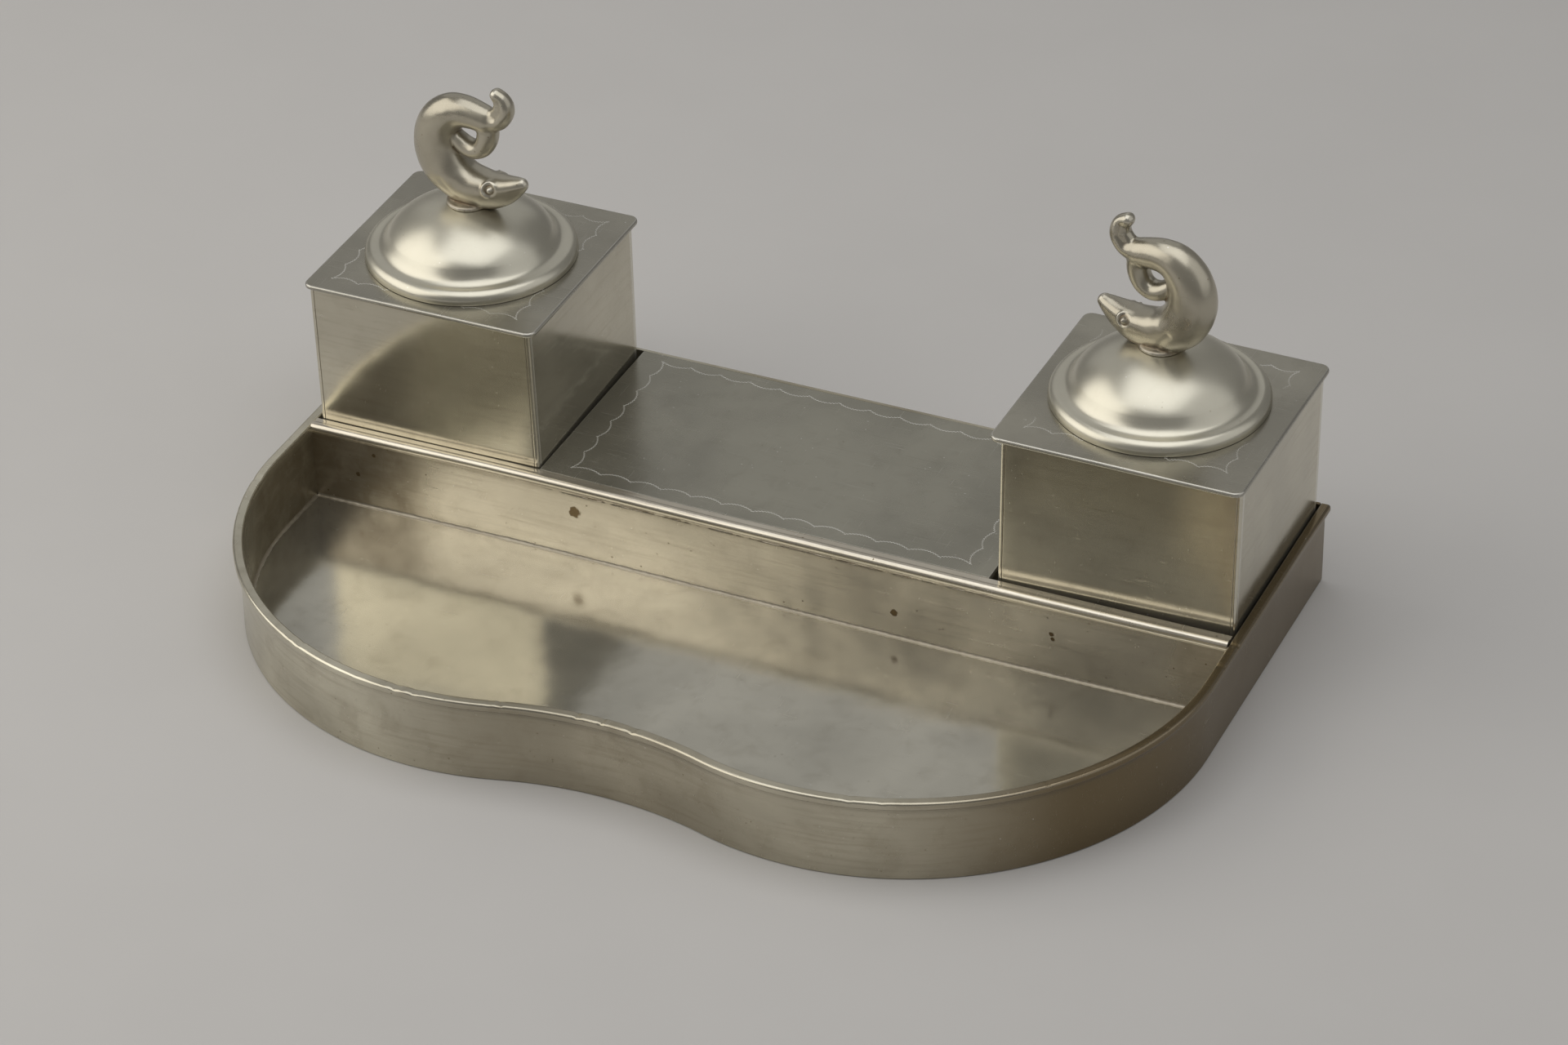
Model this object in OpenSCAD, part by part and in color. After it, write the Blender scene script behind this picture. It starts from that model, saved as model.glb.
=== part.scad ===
/* [Base] */
// Width of the base over its lip
base_w = 300; // [290:1:312]
// Depth of the base over its lip
base_d = 189; // [184:1:196]
// Height of the base from the table to its rim
base_h = 27; // [24:0.5:34]
// Radius of each front lobe over the lip
lobe_r = 93; // [88:1:96]
// How far the waist is set back from the lobes
waist_in = 8; // [6:0.5:11]
// Thickness of the cast outer wall
wall_t = 1.5; // [1.2:0.1:2]
// Overhang of the lip outside the wall
lip_out = 1.6; // [1.2:0.1:2.2]
// Height of the lip's face
lip_h = 2.6; // [2.2:0.1:3.6]
// Radius of the lip's rounded edges
lip_r = 0.9; // [0.4:0.1:1.1]
// Height of the cove between the lip and the wall
cove_h = 2.4; // [1:0.1:4]
// Thickness of the floor plate
floor_t = 1.6; // [1.2:0.1:2.4]
// Thickness of the rear wall
rear_t = 1; // [0.8:0.1:1.6]

/* [Partition and deck] */
// Depth of each socket beyond the depth of its box
socket_play = 5.3; // [5:0.1:8]
// Thickness of the partition between the tray and the sockets
partition_t = 1.5; // [1.2:0.1:2.4]
// Radius of the bead along the top of the partition
bead_r = 1.6; // [1.2:0.1:2]
// How far the flat rail behind the bead reaches from the bead's middle
rail_back = 3.1; // [2.2:0.1:3.2]
// Thickness of that rail
rail_t = 1.5; // [1:0.1:2]
// How far the bead stands above the rim
bead_rise = 0.4; // [0:0.1:0.8]
// Width of the slot between the deck and each box
deck_space = 1.6; // [1:0.1:3]
// Thickness of the deck plate
deck_t = 1.5; // [1.2:0.1:2.4]
// Thickness of the wall at each side of the deck
socket_wall_t = 1.5; // [1.2:0.1:2.4]

/* [Ink boxes] */
// Width of each box over its walls
box_w = 71.8; // [69:0.2:72.4]
// Depth of each box over its walls
box_d = 69.7; // [67:0.1:70.6]
// Height of each top plate above the rim
box_rise = 47.8; // [40:0.2:56]
// Space between each box and the side wall
side_space = 1.2; // [0.9:0.1:2.4]
// Thickness of the box walls
box_wall_t = 1.8; // [1.4:0.1:2.6]
// Thickness of the box bottoms
box_floor_t = 1.6; // [1.2:0.1:2.6]
// Thickness of the top plates
plate_t = 1.5; // [1.2:0.1:2.2]
// Overhang of the top plates over the walls
plate_over = 2.2; // [1.6:0.1:2.6]
// Radius of the top plates' corners
plate_r = 3; // [1:0.2:5]
// Free space behind the left box
left_space = 2.1; // [0.8:0.1:3]
// Free space behind the right box
right_space = 0.75; // [0.7:0.05:3]
// Turn of the left box in its socket
left_turn = 0.25; // [-0.3:0.05:0.3]
// Turn of the right box in its socket
right_turn = -0.6; // [-0.6:0.05:0.3]
// How far behind the middle of its box the left mouth is cut
left_mouth_back = -0.5; // [-2:0.1:2]
// How far behind the middle of its box the right mouth is cut
right_mouth_back = 2; // [-2:0.1:2.8]
// How far to the left of the middle of its box the right mouth is cut
right_mouth_side = 1.3; // [-1.6:0.1:1.6]

/* [Ink liners] */
// Radius of the round mouth in each top plate
mouth_r = 26.4; // [24.8:0.1:27]
// Thickness of the collar tube below the mouth
collar_t = 1.2; // [1:0.1:1.8]
// Depth of the collar below the top plate
collar_h = 9; // [8.2:0.1:12]
// Width of the ledge inside the foot of the collar
ledge_w = 3; // [2:0.1:4]
// Thickness of the ledge
ledge_t = 1.5; // [1:0.1:2]
// Wall thickness of the glass liners
liner_t = 2.5; // [1.6:0.1:3.4]
// Thickness of the liners' flange
liner_flange_t = 2.5; // [1.6:0.1:3]
// Depth of the liners below their flange
liner_d = 54; // [40:0.5:56]
// Clearance round a liner
liner_gap = 0.4; // [0.3:0.05:0.8]

/* [Lids] */
// Radius of the lids over their rim
lid_r = 32; // [31.4:0.1:33.6]
// Height of the lids' rim
rim_h = 4.5; // [3.6:0.1:4.8]
// Radius of the rim's rounded shoulder
shoulder_r = 2.6; // [1.4:0.1:2.9]
// Radius of the dome where it leaves the rim
dome_r = 25.6; // [24.8:0.1:26.6]
// Height of the dome's crown above the top plate
dome_h = 17.6; // [15:0.1:19]
// Thickness of the dome
dome_t = 1.4; // [1:0.1:2]
// Radius of the flat seat on the crown
seat_r = 6.8; // [5.8:0.1:7.6]
// Depth of the ring below a lid that centres it in its mouth
spigot_h = 4; // [3:0.1:4.8]
// Thickness of that ring
spigot_t = 1.2; // [0.8:0.1:1.6]
// Clearance of that ring in the mouth
spigot_gap = 0.4; // [0.3:0.05:0.8]

/* [Finials] */
// Height of the round foot under each finial
foot_h = 1.3; // [1:0.1:2.6]
// How far the left fish is let down into its foot
left_sink = 0.7; // [0:0.1:2.6]
// How far the right fish is let down into its foot
right_sink = 2; // [0:0.1:2.6]
// Radius of the rivets' shank
rivet_r = 1.5; // [1:0.1:2]
// Length of the shank above the lid's seat
rivet_l = 5; // [3:0.1:6]
// Radius of the rivets' head
rivet_head_r = 4; // [3:0.1:5]
// Thickness of the rivets' head
rivet_head_t = 1.2; // [0.8:0.1:2]
// Turn of the left finial about its foot
left_yaw = -3.5; // [-15:0.5:15]
// Turn of the right finial about its foot
right_yaw = -8; // [-15:0.5:15]
// Height of each fish above the crown of its lid
fish_h = 42.2; // [38:0.2:46]
// Radius of the bead in each eye
eye_r = 1; // [0.6:0.1:1.4]
// Radius of the ring round each eye
eye_ring_r = 2.2; // [1.8:0.1:2.6]

/* [Hidden] */
// Gap left for solder round curved seats
seam = 0.1;
// Solder seam between two lengths of the outer wall
solder_hair = 0.02;
// Clearance of a rivet in its hole
rivet_gap = 0.05;
// Thickness of the wire ring round an eye
eye_wire_r = 0.35;
// Small overlap that joins two solids of one piece
bite = 0.4;
// Steps along each arc of the floor's outline
arc_steps = 40;
smooth_fn = 128;

wall_in = lip_out + wall_t;
lobe_x = base_w / 2 - lobe_r;
lobe_back = lobe_r - waist_in;
waist_r = (lobe_x * lobe_x + lobe_back * lobe_back - lobe_r * lobe_r) / (2 * waist_in);

plate_w = box_w + 2 * plate_over;
plate_d = box_d + 2 * plate_over;
box_from_rear = rear_t + box_d / 2;
right_reach = plate_d / 2 * cos(right_turn) + plate_w / 2 * abs(sin(right_turn));
rear_past = max(0, right_reach - box_from_rear - right_space);

y_rear = (base_d - rear_past) / 2;
y_lobe = y_rear - base_d + lobe_r;
y_waist = y_lobe - lobe_back - waist_r;
waist_turn = atan(lobe_x / (y_lobe - y_waist));
y_socket_rear = y_rear - rear_t;
socket_d = box_d + socket_play;
y_partition = y_socket_rear - socket_d - partition_t / 2;
y_rail = y_partition + rail_back;
bead_z = base_h + bead_rise - bead_r;
inside_w = base_w - 2 * wall_in;
box_pitch = inside_w - 2 * side_space - box_w;
deck_w = box_pitch - box_w - 2 * deck_space;

box_z = floor_t;
box_h = base_h + box_rise - floor_t - plate_t;
plate_top = box_h + plate_t;
left_y = y_rear - box_from_rear - left_space;
right_y = y_rear - box_from_rear - right_space;

ledge_z = box_h - collar_h + ledge_t;
ledge_r = mouth_r - ledge_w;
liner_r = ledge_r - liner_gap;
spigot_r = mouth_r - spigot_gap;

dome_rise = dome_h - rim_h;
seat_z = rim_h + dome_rise * sqrt(1 - seat_r * seat_r / (dome_r * dome_r));

// Fish: [along, up, half depth, half thickness], drawn from the middle of the foot's seat;
// the body's last number is how far its section leans to a rounded triangle
fish_body = [
    [20, 12, 0.7, 0.9, 0], [18, 10.6, 2.3, 2.2, 0.04], [12.6, 8.2, 4.8, 4.3, 0.08],
    [6.4, 6.7, 6.1, 5.4, 0.07], [-0.8, 7.6, 6.9, 6.2, 0.03], [-6.6, 11.6, 7.4, 6.8, 0],
    [-9.2, 17, 7.4, 6.8, 0], [-9.5, 22.2, 7.1, 6.5, 0], [-7.8, 27, 6.5, 6, 0],
    [-4.4, 30.4, 5.8, 5.4, 0], [-0.4, 31.6, 5.1, 4.8, 0], [3.8, 31.3, 4.6, 4.4, 0],
    [8.2, 30.4, 4.2, 4, 0]];
fish_tail = [
    [7, 30, 3.3, 3.4], [8.3, 27, 3.2, 3.4], [7.8, 23.6, 3.1, 3.3], [6.1, 20.8, 2.8, 3.1],
    [3.4, 19.2, 2.6, 2.9], [0.4, 20, 2.4, 2.8], [-1.8, 22.4, 1.9, 2.2]];
fish_fin = [
    [8.2, 30.2, 3.3, 3.4], [11.8, 32, 3.6, 3.5], [13.8, 35.1, 3.3, 3.5], [13.4, 38.1, 2.8, 3.1],
    [11.4, 40.2, 2, 2.4]];
// The eye on each side of the head
eye_x = 10;
eye_z = 9.3;
eye_side = 4.5;
fish_tip = fish_fin[len(fish_fin) - 1];
drawn_h = fish_tip[1] + fish_tip[2];

// ---- Base ----

// Section of the wall and lip, with the lip's outer face on the Y axis and the wall on its left
module wall_section() {
    translate([-wall_in, 0]) square([wall_t, base_h]);
    translate([-wall_in, base_h - lip_h]) square([wall_in - lip_r, lip_h]);
    translate([-lip_r - bite, base_h - lip_h + lip_r]) square([lip_r + bite, lip_h - 2 * lip_r]);
    for (z = [base_h - lip_r, base_h - lip_h + lip_r])
        translate([-lip_r, z]) circle(r = lip_r, $fn = 32);
    polygon([[-lip_out - bite, base_h - lip_h], [-lip_r, base_h - lip_h],
        [-lip_out, base_h - lip_h - cove_h], [-lip_out - bite, base_h - lip_h - cove_h]]);
}

module straight_wall() {
    translate([base_w / 2, y_rear, 0]) rotate([90, 0, 0])
        linear_extrude(y_rear - y_lobe) wall_section();
}

module lobe_wall() {
    // a hair of solder parts each lobe from the straight and from the waist
    hair_turn = atan(solder_hair / lobe_r);
    translate([lobe_x, y_lobe, 0]) rotate([0, 0, hair_turn - 90 - waist_turn])
        rotate_extrude(angle = 90 + waist_turn - 2 * hair_turn, $fn = smooth_fn * 2)
            translate([lobe_r, 0]) wall_section();
}

module waist_wall() {
    translate([0, y_waist, 0]) rotate([0, 0, 90 - waist_turn])
        rotate_extrude(angle = 2 * waist_turn, $fn = smooth_fn * 2)
            translate([waist_r, 0]) mirror([1, 0]) wall_section();
}

module outer_wall() {
    color([0.5, 0.49, 0.45]) {
        for (side = [0, 1]) mirror([side, 0, 0]) {
            straight_wall();
            lobe_wall();
        }
        waist_wall();
    }
}

function arc(centre, r, from, to) = [for (i = [0:arc_steps])
    let (turn = from + (to - from) * i / arc_steps) centre + r * [cos(turn), sin(turn)]];

// Outline of the base, drawn inside the lip by the given inset
module base_outline(inset) {
    half_w = base_w / 2 - inset;
    polygon(concat(
        [[half_w, y_rear]],
        arc([lobe_x, y_lobe], lobe_r - inset, 0, -90 - waist_turn),
        arc([0, y_waist], waist_r + inset, 90 - waist_turn, 90 + waist_turn),
        arc([-lobe_x, y_lobe], lobe_r - inset, -90 + waist_turn, -180),
        [[-half_w, y_rear]]));
}

module floor_plate() {
    color([0.42, 0.41, 0.37]) linear_extrude(floor_t) base_outline(wall_in + seam);
}

module rear_wall() {
    color([0.46, 0.45, 0.41]) translate([-inside_w / 2, y_socket_rear, floor_t])
        cube([inside_w, rear_t, base_h - floor_t]);
}

module tray_partition() {
    color([0.48, 0.46, 0.41]) {
        translate([-inside_w / 2, y_partition - partition_t / 2, floor_t])
            cube([inside_w, partition_t, bead_z - floor_t]);
        translate([-inside_w / 2, y_partition, bead_z]) rotate([0, 90, 0])
            cylinder(r = bead_r, h = inside_w, $fn = 48);
        translate([-inside_w / 2, y_partition, base_h - rail_t])
            cube([inside_w, rail_back, rail_t]);
    }
}

module deck_plate() {
    front = y_rail + seam;
    color([0.44, 0.43, 0.4]) translate([-deck_w / 2, front, base_h - deck_t])
        cube([deck_w, y_socket_rear - front, deck_t]);
}

module socket_wall(side) {
    front = y_partition + partition_t / 2;
    inner_x = deck_w / 2 - socket_wall_t;
    color([0.4, 0.39, 0.35]) mirror([side, 0, 0]) translate([inner_x, front, floor_t])
        cube([socket_wall_t, y_socket_rear - front, base_h - deck_t - floor_t]);
}

module left_socket_wall() { socket_wall(1); }
module right_socket_wall() { socket_wall(0); }

// ---- Ink boxes: each is drawn about its own centre, standing on z = 0 ----

module at_left() {
    translate([-box_pitch / 2, left_y, box_z]) rotate([0, 0, left_turn]) children();
}
module at_right() {
    translate([box_pitch / 2, right_y, box_z]) rotate([0, 0, right_turn]) children();
}
module at_left_mouth() { at_left() translate([0, left_mouth_back, 0]) children(); }
module at_right_mouth() {
    at_right() translate([-right_mouth_side, right_mouth_back, 0]) children();
}

// Front and back run the full width, with the sides between them
module box_front(side) {
    color([0.45, 0.43, 0.36])
        translate([-box_w / 2, side * (box_d - box_wall_t) / 2 - box_wall_t / 2, 0])
            cube([box_w, box_wall_t, box_h]);
}

module box_side(side) {
    depth = box_d - 2 * box_wall_t;
    color([0.47, 0.45, 0.4])
        translate([side * (box_w - box_wall_t) / 2 - box_wall_t / 2, -depth / 2, 0])
            cube([box_wall_t, depth, box_h]);
}

module box_bottom() {
    width = box_w - 2 * box_wall_t;
    depth = box_d - 2 * box_wall_t;
    color([0.4, 0.39, 0.35]) translate([-width / 2, -depth / 2, 0])
        cube([width, depth, box_floor_t]);
}

module rounded_plate(width, depth, r) {
    square([width - 2 * r, depth], center = true);
    square([width, depth - 2 * r], center = true);
    for (x = [-1, 1], y = [-1, 1])
        translate([x * (width / 2 - r), y * (depth / 2 - r)]) circle(r = r, $fn = 48);
}

module top_plate(mouth_back, mouth_side = 0) {
    color([0.5, 0.5, 0.47]) translate([0, 0, box_h]) linear_extrude(plate_t)
        difference() {
            rounded_plate(plate_w, plate_d, plate_r);
            translate([-mouth_side, mouth_back]) circle(r = mouth_r, $fn = smooth_fn);
        }
}

// Tube under the mouth, with a ledge inside its foot
module collar() {
    color([0.42, 0.41, 0.37]) rotate_extrude($fn = smooth_fn) {
        translate([mouth_r, box_h - collar_h]) square([collar_t, collar_h]);
        translate([ledge_r, box_h - collar_h]) square([mouth_r - ledge_r + bite, ledge_t]);
    }
}

// Glass pot that hangs by its flange on the collar's ledge
module liner() {
    flange_r = mouth_r - liner_gap;
    bore_r = liner_r - liner_t;
    color([0.62, 0.72, 0.68]) rotate_extrude($fn = smooth_fn) difference() {
        union() {
            translate([0, ledge_z]) square([flange_r, liner_flange_t]);
            translate([0, ledge_z - liner_d]) square([liner_r, liner_d + bite]);
        }
        translate([0, ledge_z - liner_d + liner_t]) square([bore_r, liner_d + liner_flange_t]);
    }
}

// ---- Lids: drawn from the top plate upwards ----

module lid_section() {
    // the rim, flat below and rounded at its shoulder
    inner = dome_r - dome_t;
    translate([inner, 0]) square([lid_r - shoulder_r - inner, rim_h]);
    translate([inner, 0]) square([lid_r - inner, rim_h - shoulder_r]);
    intersection() {
        translate([lid_r - shoulder_r, rim_h - shoulder_r]) circle(r = shoulder_r, $fn = 64);
        translate([inner, 0]) square([lid_r, rim_h]);
    }
    // the dome, an upright ellipse that ends at the seat
    intersection() {
        translate([0, rim_h]) difference() {
            scale([dome_r, dome_rise]) circle(r = 1, $fn = smooth_fn * 2);
            scale([inner, dome_rise - dome_t]) circle(r = 1, $fn = smooth_fn * 2);
        }
        translate([0, rim_h]) square([dome_r, seat_z - rim_h]);
    }
    // the flat seat on the crown
    translate([0, seat_z - dome_t]) square([seat_r, dome_t]);
}

module lid() {
    color([0.56, 0.55, 0.5]) translate([0, 0, plate_top]) rotate_extrude($fn = smooth_fn)
        difference() {
            lid_section();
            square([rivet_r + rivet_gap, dome_h]);
        }
}

module lid_spigot() {
    color([0.46, 0.45, 0.41]) translate([0, 0, plate_top - spigot_h]) rotate_extrude($fn = smooth_fn)
        translate([spigot_r - spigot_t, 0]) square([spigot_t, spigot_h]);
}

module finial_rivet() {
    seat_under = plate_top + seat_z - dome_t;
    color([0.5, 0.49, 0.44]) {
        translate([0, 0, seat_under - rivet_head_t])
            cylinder(r = rivet_head_r, h = rivet_head_t, $fn = 64);
        translate([0, 0, seat_under - bite])
            cylinder(r = rivet_r, h = dome_t + rivet_l + bite, $fn = 64);
    }
}

// ---- Finials: a curled fish, drawn in the XZ plane with its snout along +X ----

function spline(a, b, c, d, t) = 0.5 * (2 * b + (c - a) * t + (2 * a - 5 * b + 4 * c - d) * t * t
    + (3 * b - a - 3 * c + d) * t * t * t);
function eased(stations, steps) = let (last = len(stations) - 1) [
    for (i = [0:last - 1], k = [0:steps - 1])
        spline(stations[max(i - 1, 0)], stations[i], stations[i + 1],
            stations[min(i + 2, last)], k / steps),
    stations[last]];

// Closed skin round a curved centreline; each ring is an ellipse square to it
module skin(stations, steps, sides) {
    line = eased(stations, steps);
    last = len(line) - 1;
    rings = [for (i = [0:last]) let (
            ahead = line[min(i + 1, last)] - line[max(i - 1, 0)],
            size = norm([ahead[0], ahead[1]]),
            across = [-ahead[1] / size, ahead[0] / size],
            lean = len(line[i]) > 4 ? line[i][4] : 0)
        for (k = [0:sides - 1]) let (turn = 360 * k / sides, swell = 1 + lean * cos(3 * turn))
            [line[i][0] + across[0] * line[i][2] * cos(turn) * swell,
                line[i][3] * sin(turn) * swell,
                line[i][1] + across[1] * line[i][2] * cos(turn) * swell]];
    polyhedron(points = rings, faces = concat(
        [[for (k = [sides - 1:-1:0]) k]],
        [for (i = [0:last - 1], k = [0:sides - 1]) let (n = (k + 1) % sides)
            [i * sides + n, (i + 1) * sides + n, (i + 1) * sides + k, i * sides + k]],
        [[for (k = [0:sides - 1]) last * sides + k]]));
}

module eye() {
    translate([eye_x, -eye_side, eye_z]) rotate([90, 0, 0]) {
        sphere(r = eye_r, $fn = 20);
        rotate_extrude($fn = 24) translate([eye_ring_r, 0]) circle(r = eye_wire_r, $fn = 8);
    }
}

module fish() {
    skin(fish_body, 3, 24);
    skin(fish_tail, 3, 16);
    skin(fish_fin, 3, 16);
    for (side = [0, 1]) mirror([0, side, 0]) eye();
}

module finial(yaw, sink) {
    color([0.52, 0.5, 0.44]) translate([0, 0, plate_top + seat_z]) difference() {
        union() {
            cylinder(r = seat_r, h = foot_h, $fn = 48);
            translate([0, 0, -sink]) rotate([0, 0, yaw]) scale(fish_h / drawn_h) fish();
        }
        translate([0, 0, -1]) cylinder(r = rivet_r + rivet_gap, h = rivet_l + 1 + rivet_gap, $fn = 48);
        translate([0, 0, -lobe_r]) cube(2 * lobe_r, center = true);
    }
}

module left_box_front() { at_left() box_front(-1); }
module left_box_back() { at_left() box_front(1); }
module left_box_outer_side() { at_left() box_side(-1); }
module left_box_inner_side() { at_left() box_side(1); }
module left_box_bottom() { at_left() box_bottom(); }
module left_top_plate() { at_left() top_plate(left_mouth_back); }
module left_collar() { at_left_mouth() collar(); }
module left_liner() { at_left_mouth() liner(); }
module left_lid() { at_left_mouth() lid(); }
module left_lid_spigot() { at_left_mouth() lid_spigot(); }
module left_finial() { at_left_mouth() finial(left_yaw, left_sink); }
module left_finial_rivet() { at_left_mouth() finial_rivet(); }

module right_box_front() { at_right() box_front(-1); }
module right_box_back() { at_right() box_front(1); }
module right_box_outer_side() { at_right() box_side(1); }
module right_box_inner_side() { at_right() box_side(-1); }
module right_box_bottom() { at_right() box_bottom(); }
module right_top_plate() { at_right() top_plate(right_mouth_back, right_mouth_side); }
module right_collar() { at_right_mouth() collar(); }
module right_liner() { at_right_mouth() liner(); }
module right_lid() { at_right_mouth() lid(); }
module right_lid_spigot() { at_right_mouth() lid_spigot(); }
module right_finial() { at_right_mouth() finial(180 + right_yaw, right_sink); }
module right_finial_rivet() { at_right_mouth() finial_rivet(); }

outer_wall();
floor_plate();
rear_wall();
tray_partition();
deck_plate();
left_socket_wall();
right_socket_wall();
left_box_front();
left_box_back();
left_box_outer_side();
left_box_inner_side();
left_box_bottom();
left_top_plate();
left_collar();
left_liner();
left_lid();
left_lid_spigot();
left_finial();
left_finial_rivet();
right_box_front();
right_box_back();
right_box_outer_side();
right_box_inner_side();
right_box_bottom();
right_top_plate();
right_collar();
right_liner();
right_lid();
right_lid_spigot();
right_finial();
right_finial_rivet();
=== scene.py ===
import math

import bmesh
import bpy
import numpy as np
from mathutils import Matrix


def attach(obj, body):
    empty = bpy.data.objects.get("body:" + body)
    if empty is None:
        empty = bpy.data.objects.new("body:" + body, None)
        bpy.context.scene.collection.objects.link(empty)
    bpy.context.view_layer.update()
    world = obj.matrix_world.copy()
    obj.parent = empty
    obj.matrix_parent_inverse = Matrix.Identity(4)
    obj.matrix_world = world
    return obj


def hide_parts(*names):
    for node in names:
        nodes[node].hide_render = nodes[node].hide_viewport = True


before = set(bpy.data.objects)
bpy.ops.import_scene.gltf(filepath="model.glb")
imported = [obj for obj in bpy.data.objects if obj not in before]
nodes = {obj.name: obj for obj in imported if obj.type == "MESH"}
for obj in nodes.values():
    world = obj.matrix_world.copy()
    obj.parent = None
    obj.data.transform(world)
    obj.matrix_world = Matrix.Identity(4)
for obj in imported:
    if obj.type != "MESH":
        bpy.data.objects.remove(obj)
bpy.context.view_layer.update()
mm, perMetre = 0.001, 1000
join = np.concatenate

# where the parts stand, in millimetres: two round lobes joined by a round waist
base = {"width": 300, "rim": 27, "floor": 1.6, "rear": 94.0765, "lobeX": 57, "lobeY": -1.9235,
        "lobeR": 93, "waistY": -200.9727, "waistR": 114.0625, "wall": 1.5, "lip": 1.6,
        "rearWall": 1.0, "partition": 17.3265, "rail": 3.1, "beadZ": 25.8, "beadR": 1.6,
        "sheet": 1.5}
# each box: its centre and turn, the middle of its mouth, the turn of its fish and how deep it sinks
boxes = {"left": {"at": (-109.8, 56.1265), "turn": 0.25, "mouth": (0, -0.5), "yaw": -3.5,
                  "sink": 0.7},
         "right": {"at": (109.8, 57.4765), "turn": -0.6, "mouth": (-1.3, 2.0), "yaw": 172.0,
                   "sink": 2.0}}
plateTop = 74.8


# faces of a grid of m by n points, four corners each; it closes on itself either way if asked
def gridFaces(m, n, closeU, closeV):
    i = np.arange(m if closeU else m - 1)[:, None]
    j = np.arange(n if closeV else n - 1)[None, :]
    a, b = i * n + j, i * n + (j + 1) % n
    c, d = (i + 1) % m * n + (j + 1) % n, (i + 1) % m * n + j
    return np.stack(np.broadcast_arrays(a, b, c, d), -1).reshape(-1, 4)


# a mesh from points in mm: doubles merged, so that poles and seams close, normals outwards
def meshOf(points, faces, ends=()):
    mesh = bpy.data.meshes.new("shape")
    mesh.from_pydata((np.asarray(points, float).reshape(-1, 3) * mm).tolist(), [],
                     np.asarray(faces).tolist() + list(ends))
    bm = bmesh.new()
    bm.from_mesh(mesh)
    bmesh.ops.remove_doubles(bm, verts=bm.verts, dist=1e-6)
    bmesh.ops.dissolve_degenerate(bm, edges=bm.edges, dist=1e-7)
    bmesh.ops.recalc_face_normals(bm, faces=bm.faces)
    bm.to_mesh(mesh)
    bm.free()
    return mesh


# one mesh of open tubes, each a stack of closed rings; a cap is the first or last ring itself
def tubeMesh(tubes, capped=True):
    points, faces, ends, start = [], [], [], 0
    for tube in tubes:
        m, n = tube.shape[:2]
        points.append(tube.reshape(-1, 3))
        faces.append(gridFaces(m, n, False, True) + start)
        if capped:
            last = start + m * n - 1
            ends += [list(range(start, start + n)), list(range(last, last - n, -1))]
        start += m * n
    return meshOf(join(points), join(faces), ends)


# a mesh of one grid that closes both ways, as a ring with a closed section does
def ringMesh(grid):
    return meshOf(grid, gridFaces(*grid.shape[:2], True, True))


def addThing(name, data):  # an object at the origin, in the scene, and its data by one name
    data.name = name
    thing = bpy.data.objects.new(name, data)
    bpy.context.scene.collection.objects.link(thing)
    return thing


def rowsOf(group, what, width, kind=float):  # a value of each vertex or edge, one row each
    rows = np.empty(len(group) * width, kind)
    group.foreach_get(what, rows)
    return rows.reshape(-1, width)


def edgeEnds(mesh):  # the two vertices of each edge
    return rowsOf(mesh.edges, "vertices", 2, np.int32)


# each value moves half way to the mean over its neighbours, the given number of times
def averaged(values, e, times):
    n = len(values)
    count = np.bincount(e.ravel(), minlength=n)
    count = np.maximum(count, 1).reshape((n,) + (1,) * (values.ndim - 1))
    for _ in range(times):
        total = np.zeros_like(values)
        np.add.at(total, e[:, 0], values[e[:, 1]])
        np.add.at(total, e[:, 1], values[e[:, 0]])
        values = 0.5 * values + 0.5 * total / count
    return values


# two attributes from the bend in 1/mm, the mean over a vertex's edges of their fall below the
# tangent plane over their length squared: rub where it is convex, grime where hollow, the
# second also taking the painted shade that a piece's shade function gives
def addWear(mesh, reach=1.0, times=2, paintedShade=None):
    p, e = rowsOf(mesh.vertices, "co", 3) / mm, edgeEnds(mesh)
    normal = rowsOf(mesh.vertices, "normal", 3)
    d = p[e[:, 1]] - p[e[:, 0]]
    size = np.maximum((d * d).sum(1), 1e-4)
    bend, count = np.zeros(len(p)), np.zeros(len(p))
    np.add.at(bend, e[:, 0], -(normal[e[:, 0]] * d).sum(1) / size)
    np.add.at(bend, e[:, 1], (normal[e[:, 1]] * d).sum(1) / size)
    np.add.at(count, e.ravel(), 1)
    bend = averaged(bend / np.maximum(count, 1), e, times)
    more = paintedShade(p, normal) if paintedShade else 0
    for name, value in (("rub", bend * reach), ("grimeAndShade", np.maximum(-bend * reach, more))):
        a = mesh.attributes.new(name, "FLOAT", "POINT")
        a.data.foreach_set("value", np.clip(value, 0, 1).astype(np.float32))


# a finished piece: shaded smooth but for edges sharper than the angle, on its body
def piece(name, mesh, material, body, replaced=(), smooth=40, paintedShade=None):
    mesh.shade_smooth()
    mesh.set_sharp_from_angle(angle=math.radians(smooth))
    mesh.materials.clear()
    mesh.materials.append(metals[material])
    if "rub" not in mesh.attributes:
        # wear attributes; grime also takes the painted shade that the piece's shade function gives
        addWear(mesh, paintedShade=paintedShade)
    thing = addThing(name, mesh)
    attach(thing, body)
    if replaced:
        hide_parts(*replaced)


def unit(v):  # each row over its own length
    return v / np.linalg.norm(v, axis=-1, keepdims=True)


def travel(line):  # how far along the line each point lies
    return join([[0], np.cumsum(np.linalg.norm(np.diff(line, axis=0), axis=1))])


def flat(x, y):  # the points (x, y, 0)
    return np.stack([x, y, x * 0], -1)


def bell(x, width):  # 1 at the middle, fading as e to the minus (x over width) squared
    return np.exp(-(x / width) ** 2)


# an arc about (cx, cy) between two angles in degrees; ry makes it part of an ellipse
def bow(cx, cy, r, start, end, steps, ry=None):
    t = np.radians(np.linspace(start, end, steps))
    return np.stack([cx + r * np.cos(t), cy + (ry or r) * np.sin(t)], 1)


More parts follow.
